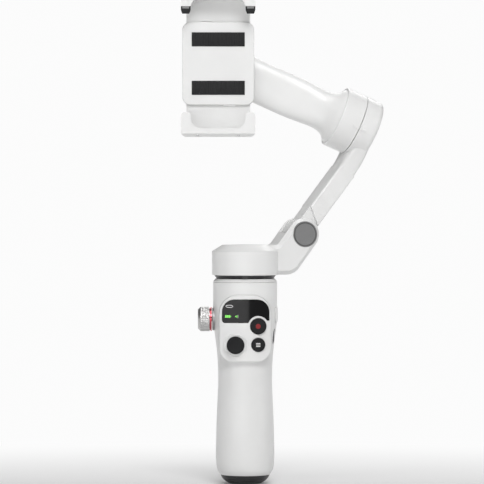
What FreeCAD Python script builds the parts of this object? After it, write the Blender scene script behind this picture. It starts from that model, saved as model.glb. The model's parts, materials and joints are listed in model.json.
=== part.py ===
import FreeCAD, Part
import math
import os

from FreeCAD import Placement, Rotation, Vector

# Handheld gimbal stabilizer for a phone, opened for use.
# Frame: origin at the centre of the base on the pan axis, +Z up, +X to the user's right,
# +Y away from the user. All sizes are millimetres.

# ---------------------------------------------------------------- driving dimensions

# Handle
BASE_TOP_Z = 5.5
BASE_TOP_R = 15.7
BASE_FOOT_R = 10.4
BODY_TOP_Z = 128.6
HEAD_R = 20.5
GRIP_R = 18.6
WAIST_R = 17.35
WALL = 1.8
SHELL_SPLIT_Y = 2.0
TOP_CAP_Z = 130.9
THREAD_R = 3.175
THREAD_LENGTH = 10.0

# Control panel on the front of the head
PANEL_HALF_W = 16.5
PANEL_Z = (78.2, 121.0)
PANEL_FACE_Y = -20.9
PANEL_CURVE_R = 34.0
PANEL_BACK_Y = -7.5
PANEL_LOWER_CORNER = 9.0
PANEL_UPPER_CORNER = 12.0
PANEL_WALL = 1.6
WINDOW_X = (-14.7, 15.4)
WINDOW_Z = (103.2, 118.1)
RECORD_XZ = (8.3, 101.1)
RECORD_R = 5.05
MODE_XZ = (8.3, 89.3)
MODE_R = 4.35
STICK_XZ = (-6.1, 89.2)
STICK_CAP_R = 5.65
STICK_PIVOT_Y = -14.5
BOARD_Y = (-12.2, -10.6)
BOARD_CORNER = 8.0
BUTTON_GAP = 0.2

# Wheel on the left, key and socket on the right, trigger behind
WHEEL_Z = 105.0
WHEEL_R = 7.85
WHEEL_X = (-30.2, -22.7)
KEY_ANGLE = -14.0
KEY_Z = (103.2, 112.6)
SOCKET_ANGLE = -17.0
SOCKET_Z = 94.3
TRIGGER_PIVOT_YZ = (15.5, 113.0)
TRIGGER_HALF_W = 6.2
TRIGGER_PIN_R = 1.0

# Motors
MOTOR_HUB_R = 6.0
SHAFT_R = 2.5
RUNNING_GAP = 0.05
BEARING_OUTER_R = 4.0

# Pan housing and the arms, which lie in a vertical plane turned back by ARM_TURN
ARM_TURN = 19.0
PAN_R = 21.2
PAN_Z = (133.2, 148.5)
PAN_TOP_Z = 152.5
PAN_TOP_R = 14.6
PAN_INNER_R = 17.7
HINGE_U = 37.24
HINGE_Z = 159.2
EAR_R = 10.3
FORK_HALF = 10.4
FORK_GAP_HALF = 7.0
KNUCKLE_R = 9.5
KNUCKLE_HALF = 6.7
HINGE_PIN_R = 3.5
HINGE_CAP_R = 8.2
LOWER_ARM_SLOPE = 53.0
UPPER_ARM_SLOPE = 52.0
UPPER_ARM_EDGES = (-4.4, 7.6)
UPPER_ARM_HALF = 8.85

# Tilt motor
TILT_C = Vector(70.5, 24.3, 229.8)
TILT_AXIS = Vector(0.898, 0.184, -0.400)
TILT_R = 19.9
TILT_ROTOR_LENGTH = 13.8
TILT_BASE_LENGTH = 12.5
TILT_INNER_R = 17.3

# Roll motor behind the phone and the clamp in front of it
ROLL_X = -17.2
ROLL_Z = 268.5
ROLL_R = 19.5
ROLL_HOUSING_Y = (13.6, 29.5)
CLAMP_Y = (1.8, 10.5)
CLAMP_HALF_W = 23.0
CLAMP_HALF_H = 26.5
JAW_HALF_W = 23.7
JAW_OUT = 46.9
JAW_SEAT = 38.4
JAW_TIP = 31.3
JAW_FLOOR = 41.6
JAW_LIP_Y = (-12.0, -9.3)
PINION_PITCH_R = 4.0
PINION_TEETH = 10

EX = Vector(1, 0, 0)
EY = Vector(0, 1, 0)
EZ = Vector(0, 0, 1)
ARM_U = Vector(math.cos(math.radians(ARM_TURN)), math.sin(math.radians(ARM_TURN)), 0)
ARM_N = Vector(math.sin(math.radians(ARM_TURN)), -math.cos(math.radians(ARM_TURN)), 0)
TILT_AXIS.normalize()

os.makedirs("parts", exist_ok=True)


# ---------------------------------------------------------------- helpers

def save(node, shape):
    shape = shape.removeSplitter()
    shape.exportStep("parts/" + node + ".step")
    print(node, "solids", len(shape.Solids), "valid", shape.isValid(),
          "cm3", round(shape.Volume / 1000.0, 3))


def rod(base, axis, radius, length):
    return Part.makeCylinder(radius, length, base, axis)


def tube(base, axis, outer, inner, length):
    bore = rod(base - axis, axis, inner, length + 2.0)
    return rod(base, axis, outer, length).cut(bore)


def box(x, y, z):
    return Part.makeBox(x[1] - x[0], y[1] - y[0], z[1] - z[0], Vector(x[0], y[0], z[0]))


def prism(points, direction):
    wire = Part.makePolygon(points + [points[0]])
    return Part.Face(wire).extrude(direction)


def revolve_z(profile):
    """Turn a closed list of (radius, z) points about the pan axis."""
    points = [Vector(r, 0, z) for r, z in profile]
    wire = Part.makePolygon(points + [points[0]])
    return Part.Face(wire).revolve(Vector(0, 0, 0), EZ, 360)


def joined(shapes):
    whole = shapes[0]
    for shape in shapes[1:]:
        whole = whole.fuse(shape)
    return whole.removeSplitter()


def edges_along(shape, axis):
    """Straight edges parallel to an axis."""
    found = []
    for edge in shape.Edges:
        if len(edge.Vertexes) < 2:
            continue
        line = edge.Vertexes[1].Point - edge.Vertexes[0].Point
        if isinstance(edge.Curve, Part.Line) and line.cross(axis).Length < 1e-4 * line.Length:
            found.append(edge)
    return found


def round_box(x, y, z, radius, axis):
    block = box(x, y, z)
    return block.makeFillet(radius, edges_along(block, axis))


def eased(shape, size, edges, chamfer=False):
    """Round or bevel the given edges, and keep the sharp shape where that can't be built."""
    try:
        result = shape.makeChamfer(size, edges) if chamfer else shape.makeFillet(size, edges)
    except Exception as problem:
        print("edges left sharp:", problem)
        return shape
    return result if result.isValid() and result.Volume > 0 else shape


def face_edges(shape, axis, offset, tolerance=0.02):
    """Edges of the flat face that lies at the given distance along an axis."""
    found = []
    for edge in shape.Edges:
        levels = [vertex.Point.dot(axis) for vertex in edge.Vertexes]
        levels.append(edge.CenterOfMass.dot(axis))
        if all(abs(level - offset) < tolerance for level in levels):
            found.append(edge)
    return found


def spring(base, axis, coil_r, wire_r, length, turns):
    helix = Part.makeHelix(length / turns, length, coil_r)
    start = Part.Wire(Part.makeCircle(wire_r, Vector(coil_r, 0, 0), EY))
    coil = Part.Wire(helix).makePipeShell([start], True, True)
    coil.Placement = Placement(base, Rotation(EZ, axis))
    return coil


def arm_point(u, n, z):
    return ARM_U * u + ARM_N * n + EZ * z


def arm_prism(outline, n0, n1):
    """A plate cut to an outline of (u, z) points in the arm plane."""
    return prism([arm_point(u, n0, z) for u, z in outline], ARM_N * (n1 - n0))


def hinge_rod(radius, n0, n1):
    return rod(arm_point(HINGE_U, n0, HINGE_Z), ARM_N, radius, n1 - n0)


# ---------------------------------------------------------------- handle shells

def handle_radius_curve(inset):
    """Outline of the grip from the base to the straight head, moved in by the wall."""
    knots = [(BASE_TOP_R, BASE_TOP_Z), (17.6, 8.2), (GRIP_R - 0.15, 12.4), (GRIP_R + 0.05, 26.0),
             (18.2, 42.0), (WAIST_R, 62.0), (17.7, 80.0), (19.2, 94.0), (HEAD_R - 0.1, 104.0),
             (HEAD_R, 110.0)]
    curve = Part.BSplineCurve()
    curve.interpolate([Vector(r - inset, 0, z) for r, z in knots])
    return curve.toShape()


def handle_solid(inset):
    curve = handle_radius_curve(inset)
    low = curve.Vertexes[0].Point
    high = curve.Vertexes[-1].Point
    top = Vector(high.x, 0, BODY_TOP_Z)
    edges = [curve, Part.makeLine(high, top),
             Part.makeLine(top, Vector(0, 0, BODY_TOP_Z)),
             Part.makeLine(Vector(0, 0, BODY_TOP_Z), Vector(0, 0, low.z)),
             Part.makeLine(Vector(0, 0, low.z), low)]
    face = Part.Face(Part.Wire(edges))
    return face.revolve(Vector(0, 0, 0), EZ, 360)


def panel_outline(grow, y0, y1):
    """The control panel's outline with large lower corners, as a block along Y."""
    block = box((-PANEL_HALF_W - grow, PANEL_HALF_W + grow), (y0, y1),
                (PANEL_Z[0] - grow, PANEL_Z[1] + grow))
    lower = [edge for edge in edges_along(block, EY) if edge.CenterOfMass.z < 100]
    block = block.makeFillet(PANEL_LOWER_CORNER, lower)
    upper = [edge for edge in edges_along(block, EY) if edge.CenterOfMass.z > 115]
    return block.makeFillet(PANEL_UPPER_CORNER, upper)


def panel_bulge(inset):
    """The shallow upright cylinder that the panel's face is a part of."""
    radius = PANEL_CURVE_R - inset
    return rod(Vector(0, PANEL_FACE_Y + PANEL_CURVE_R, 60), EZ, radius, 80)


def radial(angle):
    return Vector(math.cos(math.radians(angle)), math.sin(math.radians(angle)), 0)


def radial_block(angle, z, half_w, half_h, r0, r1, corner):
    """A rounded block that stands out of the handle at an angle from +X."""
    block = round_box((r0, r1), (-half_w, half_w), (z - half_h, z + half_h), corner, EX)
    block.Placement = Placement(Vector(0, 0, 0), Rotation(EZ, angle))
    return block


KEY_MID_Z = 0.5 * (KEY_Z[0] + KEY_Z[1])
KEY_HALF_H = 0.5 * (KEY_Z[1] - KEY_Z[0])
KEY_HALF_W = 2.4


def trigger_ears():
    """Two lugs inside the rear shell that carry the trigger's pin."""
    lugs = []
    for x in ((-8.5, -7.0), (7.0, 8.5)):
        lug = box(x, (13.2, 16.8), (110.6, 116.0))
        root = box(x, (13.2, 20.0), (115.0, 120.5))
        lugs.append(joined([lug, root]))
    return joined(lugs).common(handle_solid(WALL - 0.4))


def make_handle_shells():
    wall = handle_solid(0).cut(handle_solid(WALL))
    wall = wall.cut(panel_outline(0.1, -30, 0))
    wall = wall.cut(rod(Vector(-30, 0, WHEEL_Z), EX, 7.4, 20))
    wall = wall.cut(radial_block(KEY_ANGLE, KEY_MID_Z, KEY_HALF_W + 0.35, KEY_HALF_H + 0.35,
                                 15, 25, 2.0))
    wall = wall.cut(radial_block(SOCKET_ANGLE, SOCKET_Z, 1.95, 4.9, 15, 25, 1.9))
    wall = wall.cut(box((-TRIGGER_HALF_W - 0.45, TRIGGER_HALF_W + 0.45), (10, 30), (88.6, 117.0)))
    front = wall.common(box((-40, 40), (-40, SHELL_SPLIT_Y), (0, 140)))
    rear = wall.common(box((-40, 40), (SHELL_SPLIT_Y, 40), (0, 140)))
    pin_hole = rod(Vector(-12, TRIGGER_PIVOT_YZ[0], TRIGGER_PIVOT_YZ[1]), EX, TRIGGER_PIN_R, 24)
    save("handle_front_shell", front)
    save("handle_rear_shell", joined([rear, trigger_ears()]).cut(pin_hole))


# ---------------------------------------------------------------- control panel

def window_outline(grow, y0, y1):
    """Display window: big upper corners and a bite taken out around the record button."""
    block = box((WINDOW_X[0] - grow, WINDOW_X[1] + grow), (y0, y1),
                (WINDOW_Z[0] - grow, WINDOW_Z[1] + grow))
    upper = [edge for edge in edges_along(block, EY) if edge.CenterOfMass.z > 110]
    block = block.makeFillet(8.0, upper)
    lower = [edge for edge in edges_along(block, EY)
             if edge.CenterOfMass.z < 110 and edge.CenterOfMass.x < 0]
    block = block.makeFillet(2.0, lower)
    bite = rod(Vector(RECORD_XZ[0], y0 - 1, RECORD_XZ[1]), EY, 6.6 - grow, y1 - y0 + 2)
    corner = box((RECORD_XZ[0] + 3, 20), (y0 - 1, y1 + 1), (95, 104.7 - grow))
    return block.cut(bite).cut(corner)


def front_hole(centre, radius):
    return rod(Vector(centre[0], -40, centre[1]), EY, radius, 34)


def make_control_panel():
    outer = panel_outline(0, -30, PANEL_BACK_Y).common(panel_bulge(0))
    inner = panel_outline(-PANEL_WALL, -30, 0).common(panel_bulge(WALL))
    panel = eased(outer, 1.1, [edge for edge in outer.Edges
                               if edge.CenterOfMass.y < -14 and edge.Length > 5])
    panel = panel.cut(inner)
    pad = rod(Vector(STICK_XZ[0], -21.2, STICK_XZ[1]), EY, 7.4, 2.9)
    panel = joined([panel, eased(pad, 0.5, face_edges(pad, EY, -21.2))])
    pocket = window_outline(0.08, -30, 0).common(panel_bulge(-0.2).cut(panel_bulge(1.0)))
    panel = panel.cut(pocket)
    panel = panel.cut(front_hole(RECORD_XZ, RECORD_R + BUTTON_GAP))
    panel = panel.cut(front_hole(MODE_XZ, MODE_R + BUTTON_GAP))
    panel = panel.cut(front_hole(STICK_XZ, 4.9))
    save("control_panel", panel)
    glass = window_outline(0, -30, 0).common(panel_bulge(0).cut(panel_bulge(0.98)))
    save("display_window", glass)


def make_button(node, centre, radius):
    """A round hollow cap with a retaining flange and a stem that works the switch behind it."""
    cap = rod(Vector(centre[0], PANEL_FACE_Y, centre[1]), EY, radius, 5.5)
    cap = eased(cap, 0.4, face_edges(cap, EY, PANEL_FACE_Y))
    flange = rod(Vector(centre[0], -15.6, centre[1]), EY, radius + 0.5, 0.6)
    hollow = rod(Vector(centre[0], -19.0, centre[1]), EY, radius - 1.0, 5.0)
    stem = rod(Vector(centre[0], -19.2, centre[1]), EY, 1.4, 3.6)
    save(node, joined([joined([cap, flange]).cut(hollow), stem]))


def make_circuit_boards():
    board = box((-12.5, 12.5), BOARD_Y, (81.0, 118.8))
    board = board.makeFillet(BOARD_CORNER, edges_along(board, EY))
    chips = [box((-10, -3), (BOARD_Y[0] - 1.0, BOARD_Y[0]), (104, 111)),
             box((2, 8), (BOARD_Y[1], BOARD_Y[1] + 1.2), (92, 98)),
             box((-9, -1), (BOARD_Y[1], BOARD_Y[1] + 1.2), (100, 108))]
    save("main_circuit_board", joined([board] + chips))
    switches = []
    for centre in (RECORD_XZ, MODE_XZ):
        body = box((centre[0] - 2.3, centre[0] + 2.3), (BOARD_Y[0] - 1.8, BOARD_Y[0]),
                   (centre[1] - 2.3, centre[1] + 2.3))
        plunger = rod(Vector(centre[0], BOARD_Y[0] - 2.6, centre[1]), EY, 1.1, 0.9)
        switches.append(joined([body, plunger]))
    save("button_switches", Part.makeCompound(switches))


# ---------------------------------------------------------------- joystick

def make_joystick():
    x, z = STICK_XZ
    pivot = Vector(x, STICK_PIVOT_Y, z)
    case = box((x - 5.2, x + 5.2), (-16.7, BOARD_Y[0]), (z - 5.2, z + 5.2))
    hollow = box((x - 4.3, x + 4.3), (-16.1, BOARD_Y[0] - 0.4), (z - 4.3, z + 4.3))
    mouth = rod(Vector(x, -18, z), EY, 3.3, 3)
    bearing_holes = rod(Vector(x - 6, STICK_PIVOT_Y, z), EX, 0.55, 12)
    save("joystick_case", case.cut(hollow).cut(mouth).cut(bearing_holes))

    ring = tube(Vector(x, STICK_PIVOT_Y - 0.8, z), EY, 3.7, 2.5, 1.6)
    trunnions = [rod(pivot - EX * 5.0, EX, 0.5, 1.9), rod(pivot + EX * 3.1, EX, 0.5, 1.9)]
    cross_holes = rod(pivot - EZ * 5, EZ, 0.55, 10)
    save("joystick_yoke", joined([ring] + trunnions).cut(cross_holes))

    stem = rod(Vector(x, -22.9, z), EY, 1.4, 8.9)
    cross = rod(pivot - EZ * 3.3, EZ, 0.5, 6.6)
    save("joystick_stem", joined([stem, cross]))

    cap = rod(Vector(x, -24.2, z), EY, STICK_CAP_R, 1.5)
    cap = eased(cap, 0.6, face_edges(cap, EY, -24.2))
    dish = Part.makeSphere(22.0, Vector(x, -24.2 - 21.62, z))
    socket = rod(Vector(x, -22.9, z), EY, 1.4, 1)
    save("joystick_cap", cap.cut(dish).cut(socket))


# ---------------------------------------------------------------- wheel, key, socket

def make_focus_wheel():
    x0, x1 = WHEEL_X
    body = rod(Vector(x0, 0, WHEEL_Z), EX, WHEEL_R, x1 - x0)
    body = eased(body, 1.7, face_edges(body, EX, x0), chamfer=True)
    dish = rod(Vector(x0 - 1, 0, WHEEL_Z), EX, 4.6, 1.5)
    shaft = rod(Vector(x1 - 1, 0, WHEEL_Z), EX, 1.5, 11.5)
    body = joined([body.cut(dish), shaft])
    teeth = 36
    for k in range(teeth):
        angle = 360.0 * k / teeth
        groove = box((x0 + 1.9, x1 - 0.6), (-0.28, 0.28), (WHEEL_R - 0.3, WHEEL_R + 1))
        groove.Placement = Placement(Vector(0, 0, WHEEL_Z), Rotation(EX, angle))
        body = body.cut(groove)
    save("focus_wheel", body)
    ring = tube(Vector(x1, 0, WHEEL_Z), EX, WHEEL_R - 0.15, 1.5, 1.3)
    groove = tube(Vector(x1, 0, WHEEL_Z), EX, WHEEL_R + 1, WHEEL_R - 0.7, 0.6)
    save("wheel_accent_ring", ring.cut(groove))
    bush = tube(Vector(-21.0, 0, WHEEL_Z), EX, 7.3, 1.5 + RUNNING_GAP, 4.2)
    bush = eased(bush, 0.4, [edge for edge in face_edges(bush, EX, -21.0) if edge.Length > 20])
    save("wheel_bush", bush)
    encoder = box((-16.7, -9.5), (-5.5, 5.5), (WHEEL_Z - 5.5, WHEEL_Z + 5.5))
    save("wheel_encoder", encoder.cut(rod(Vector(-18, 0, WHEEL_Z), EX, 1.5 + RUNNING_GAP, 10)))


def make_power_key():
    key = radial_block(KEY_ANGLE, KEY_MID_Z, KEY_HALF_W, KEY_HALF_H, 17.4, 20.95, 1.8)
    flange = radial_block(KEY_ANGLE, KEY_MID_Z, KEY_HALF_W + 0.5, KEY_HALF_H + 0.5,
                          16.9, 17.7, 1.8)
    save("power_key", joined([key, flange]))


def make_usb_socket():
    shell = radial_block(SOCKET_ANGLE, SOCKET_Z, 1.85, 4.75, 11.0, 18.9, 1.8)
    cavity = radial_block(SOCKET_ANGLE, SOCKET_Z, 1.4, 4.3, 12.0, 20.0, 1.35)
    tongue = radial_block(SOCKET_ANGLE, SOCKET_Z, 0.4, 3.3, 11.5, 17.9, 0.3)
    save("usb_c_socket", joined([shell.cut(cavity), tongue]))


# ---------------------------------------------------------------- trigger

def make_trigger():
    y, z = TRIGGER_PIVOT_YZ
    outer = Part.BSplineCurve()
    outer.interpolate([Vector(0, 20.4, 115.0), Vector(0, 22.6, 109.5), Vector(0, 23.6, 103.5),
                       Vector(0, 23.4, 98.0), Vector(0, 24.7, 92.6), Vector(0, 23.9, 90.2)])
    inner = [Vector(0, 23.9, 90.2), Vector(0, 20.6, 90.6), Vector(0, 18.0, 95.0),
             Vector(0, 17.2, 104.0), Vector(0, y, z - 2.2), Vector(0, y - 2.0, z + 0.6),
             Vector(0, y, z + 2.2), Vector(0, 20.4, 115.0)]
    wire = Part.Wire([outer.toShape()] + Part.makePolygon(inner).Edges)
    lever = Part.Face(wire).extrude(EX * (2 * TRIGGER_HALF_W))
    lever.translate(Vector(-TRIGGER_HALF_W, 0, 0))
    lever = eased(lever, 0.9, [edge for edge in lever.Edges
                               if abs(abs(edge.CenterOfMass.x) - TRIGGER_HALF_W) < 0.01
                               and edge.CenterOfMass.y > 22.2 and edge.Length > 10])
    bore = rod(Vector(-10, y, z), EX, TRIGGER_PIN_R + RUNNING_GAP, 20)
    notch = box((-3.2, 3.2), (y - 3, y + 2.4), (z - 2.6, z + 4))
    save("trigger", lever.cut(bore).cut(notch))
    save("trigger_pin", rod(Vector(-8.5, y, z), EX, TRIGGER_PIN_R, 17.0))
    coil = spring(Vector(-2.4, y, z), EX, 1.65, 0.3, 4.8, 5)
    save("trigger_spring", coil)
    switch = box((-3, 3), (8.0, 13.4), (93.0, 99.0))
    carrier = box((-9, 9), (6.4, 8.0), (86.0, 118.0))
    save("trigger_switch_board", joined([switch, carrier]))


# ---------------------------------------------------------------- inside and base

def make_battery():
    cell = rod(Vector(0, 0, 13.0), EZ, 9.2, 64.0)
    cell = eased(cell, 0.8, face_edges(cell, EZ, 13.0) + face_edges(cell, EZ, 77.0))
    tip = rod(Vector(0, 0, 77.0), EZ, 3.0, 0.8)
    save("battery_cell", joined([cell, tip]))
    cradle = tube(Vector(0, 0, 11.4), EZ, 11.0, 9.4, 65.0)
    floor = rod(Vector(0, 0, 11.4), EZ, 11.0, 1.4)
    cradle = joined([cradle, floor]).cut(box((-12, 12), (-12, -2), (12.9, 80)))
    save("battery_cradle", cradle)


def make_base():
    sweep = Part.BSplineCurve()
    sweep.interpolate([Vector(BASE_FOOT_R, 0, 0), Vector(12.6, 0, 1.3), Vector(14.5, 0, 3.1),
                       Vector(BASE_TOP_R, 0, BASE_TOP_Z)])
    lines = Part.makePolygon([Vector(BASE_TOP_R, 0, BASE_TOP_Z), Vector(13.3, 0, BASE_TOP_Z),
                              Vector(12.9, 0, 9.5), Vector(0, 0, 9.5), Vector(0, 0, 0),
                              Vector(BASE_FOOT_R, 0, 0)]).Edges
    cap = Part.Face(Part.Wire([sweep.toShape()] + lines)).revolve(Vector(0, 0, 0), EZ, 360)
    for groove_z, groove_r in ((1.75, 12.85), (2.8, 13.95)):
        cap = cap.cut(tube(Vector(0, 0, groove_z), EZ, 20.0, groove_r, 0.3))
    save("base_cap", cap.cut(rod(Vector(0, 0, -1), EZ, 5.2, 12)))
    insert = tube(Vector(0, 0, 0), EZ, 5.2, THREAD_R, THREAD_LENGTH)
    save("tripod_insert", insert)


def make_top_cap():
    profile = [(0, BODY_TOP_Z - 1.6), (18.5, BODY_TOP_Z - 1.6), (18.5, BODY_TOP_Z),
               (HEAD_R - 0.75, BODY_TOP_Z), (HEAD_R - 0.2, BODY_TOP_Z + 0.45),
               (HEAD_R - 0.2, BODY_TOP_Z + 0.9),
               (18.9, TOP_CAP_Z), (0, TOP_CAP_Z)]
    cap = revolve_z(profile).cut(rod(Vector(0, 0, 120), EZ, MOTOR_HUB_R + 0.1, 15))
    for hole in screw_ring(12.0, 4, BODY_TOP_Z - 4, 1.0, 8.0):
        cap = cap.cut(hole)
    save("handle_top_cap", cap)


def screw_ring(ring_r, count, z, radius, length):
    places = [360.0 * k / count + 45.0 for k in range(count)]
    return [rod(radial(a) * ring_r + EZ * z, EZ, radius, length) for a in places]


# ---------------------------------------------------------------- motors

def make_motor(prefix, centre, axis, outer, stator, magnets, magnet_wall, bearings):
    """Stator, bearings and magnet ring of one gimbal motor, placed along its axis."""
    start, end = stator
    core = tube(centre + axis * start, axis, outer, MOTOR_HUB_R + 0.05, end - start)
    slot_count = 12
    for k in range(slot_count):
        slot = Part.makeBox(outer, 1.8, end - start + 2, Vector(9.0, -0.9, -1))
        slot.rotate(Vector(0, 0, 0), EZ, 360.0 * k / slot_count)
        slot.Placement = Placement(centre + axis * start, Rotation(EZ, axis)) * slot.Placement
        core = core.cut(slot)
    save(prefix + "_stator", core)
    races = [tube(centre + axis * at, axis, BEARING_OUTER_R, SHAFT_R + RUNNING_GAP, 2.6)
             for at in bearings]
    save(prefix + "_bearings", Part.makeCompound(races))
    ring = tube(centre + axis * magnets[0], axis, magnet_wall[1], magnet_wall[0],
                magnets[1] - magnets[0])
    save(prefix + "_magnet_ring", ring)


def make_pan_motor():
    centre = Vector(0, 0, TOP_CAP_Z)
    flange = Part.makeCone(18.2, 19.6, 2.0, centre, EZ)
    hub = rod(centre - EZ * 1.5, EZ, MOTOR_HUB_R, 16.0)
    bump = round_box((-2.2, 2.2), (-19.6, -15), (131.2, 132.9), 0.6, EY)
    base = joined([flange, hub, bump])
    base = base.cut(rod(centre - EZ * 0.5, EZ, BEARING_OUTER_R, 20))
    for hole in screw_ring(12.0, 4, 129, 1.0, 8.0):
        base = base.cut(hole)
    for head in screw_ring(12.0, 4, 131.9, 1.9, 3.0):
        base = base.cut(head)
    save("pan_motor_base", base)
    screws = [joined([shank, head]) for shank, head in
              zip(screw_ring(12.0, 4, BODY_TOP_Z - 2.5, 1.0, 6.0),
                  screw_ring(12.0, 4, 131.9, 1.8, 0.9))]
    save("pan_motor_screws", Part.makeCompound(screws))
    make_motor("pan", centre, EZ, 15.4, (3.4, 13.0), (3.0, 14.0), (15.9, PAN_INNER_R),
               (0.0, 11.4))
    save("pan_shaft", rod(centre + EZ * 0.4, EZ, SHAFT_R, 16.8))


# ---------------------------------------------------------------- pan housing and lower arm

def lower_arm_outline(half_w):
    """Stadium-ended arm that leaves the pan housing level and turns up to the hinge."""
    slope = math.radians(LOWER_ARM_SLOPE)
    along = (math.cos(slope), math.sin(slope))
    across = (math.sin(slope), -math.cos(slope))
    right = (HINGE_U + half_w * across[0], HINGE_Z + half_w * across[1])
    left = (HINGE_U - half_w * across[0], HINGE_Z - half_w * across[1])
    low_z = PAN_Z[0] + 0.2
    drop_right = (right[1] - low_z) / along[1]
    drop_left = (left[1] - (PAN_TOP_Z - 0.3)) / along[1]
    corner = (right[0] - drop_right * along[0], low_z)
    shoulder = (left[0] - drop_left * along[0], PAN_TOP_Z - 0.3)
    return [(4.0, low_z), corner, right, left, shoulder, (4.0, PAN_TOP_Z - 0.3)]


def make_lower_arm():
    plate = arm_prism(lower_arm_outline(EAR_R), -FORK_HALF, FORK_HALF)
    corners = [edge for edge in edges_along(plate, ARM_N)
               if edge.CenterOfMass.dot(ARM_U) > 15 and edge.CenterOfMass.z < 154
               and abs(edge.CenterOfMass.z - PAN_Z[0] - 0.2) < 0.1]
    plate = eased(plate, 11.0, corners)
    inside = [edge for edge in edges_along(plate, ARM_N)
              if edge.CenterOfMass.dot(ARM_U) > 10
              and abs(edge.CenterOfMass.z - PAN_TOP_Z + 0.3) < 0.1]
    plate = eased(plate, 4.0, inside)
    arm = joined([plate, hinge_rod(EAR_R, -FORK_HALF, FORK_HALF)])
    rims = face_edges(arm, ARM_N, FORK_HALF) + face_edges(arm, ARM_N, -FORK_HALF)
    rims = [edge for edge in rims if edge.CenterOfMass.dot(ARM_U) > 12]
    arm = eased(arm, 2.6, rims, chamfer=True)
    keep_clear = rod(Vector(0, 0, 120), EZ, PAN_INNER_R, 28.5)
    wall = rod(Vector(0, 0, PAN_Z[0]), EZ, PAN_R, PAN_Z[1] - PAN_Z[0])
    lip = face_edges(wall, EZ, PAN_Z[0])
    wall = eased(wall, 0.5, lip)
    lid = Part.makeCone(PAN_R, PAN_TOP_R, PAN_TOP_Z - PAN_Z[1], Vector(0, 0, PAN_Z[1]), EZ)
    inner_arm = rod(Vector(0, 0, PAN_Z[1]), EZ, 15.0, 10)
    arm = arm.cut(inner_arm)
    housing = joined([wall, arm]).cut(keep_clear)
    floor_z = PAN_Z[1] - 1.2
    housing = housing.cut(rod(Vector(0, 0, floor_z), EZ, 15.0, 20))
    housing = housing.cut(hinge_rod(KNUCKLE_R + 2.7, -FORK_GAP_HALF, FORK_GAP_HALF))
    housing = housing.cut(hinge_rod(HINGE_PIN_R, -FORK_HALF - 1, FORK_HALF + 1))
    for n0 in (-FORK_HALF - 1, FORK_HALF - 1.5):
        housing = housing.cut(hinge_rod(HINGE_CAP_R + 0.1, n0, n0 + 2.5))
    save("pan_arm", housing)
    plug = rod(Vector(0, 0, floor_z), EZ, 15.0, PAN_Z[1] - floor_z)
    save("pan_top_cover", joined([lid.cut(housing), plug]).cut(
        rod(Vector(0, 0, 140), EZ, SHAFT_R, TOP_CAP_Z + 17.2 - 140)))


def make_hinge_pieces():
    reach = FORK_HALF - 1.5
    save("fold_hinge_pin", hinge_rod(HINGE_PIN_R, -reach, reach))
    for node, side in (("hinge_front_cap", 1), ("hinge_rear_cap", -1)):
        n0 = reach if side > 0 else -reach - 1.3
        cap = hinge_rod(HINGE_CAP_R, n0, n0 + 1.3)
        face = side * (reach + 1.3)
        groove_floor = face - side * 0.5
        ring = hinge_rod(HINGE_CAP_R - 0.5, min(face, groove_floor), max(face, groove_floor))
        ring = ring.cut(hinge_rod(HINGE_CAP_R - 1.3, -20, 20))
        save(node, cap.cut(ring))


# ---------------------------------------------------------------- upper arm

def hinge_frame(along, across):
    """Point of the upper arm, measured along and across it from the fold hinge."""
    slope = math.radians(UPPER_ARM_SLOPE)
    u = HINGE_U + along * math.cos(slope) - across * math.sin(slope)
    z = HINGE_Z + along * math.sin(slope) + across * math.cos(slope)
    return (u, z)


def section_wire(centre, side, side_half, other, other_half, power):
    """Closed smooth section: an ellipse at power 2, a rounded box at higher powers."""
    count = 32
    points = []
    for k in range(count):
        a = 2 * math.pi * k / count
        c = math.cos(a)
        s = math.sin(a)
        x = math.copysign(abs(c) ** (2.0 / power), c) * side_half
        y = math.copysign(abs(s) ** (2.0 / power), s) * other_half
        points.append(centre + side * x + other * y)
    curve = Part.BSplineCurve()
    curve.interpolate(points, PeriodicFlag=True)
    return Part.Wire(curve.toShape())


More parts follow.
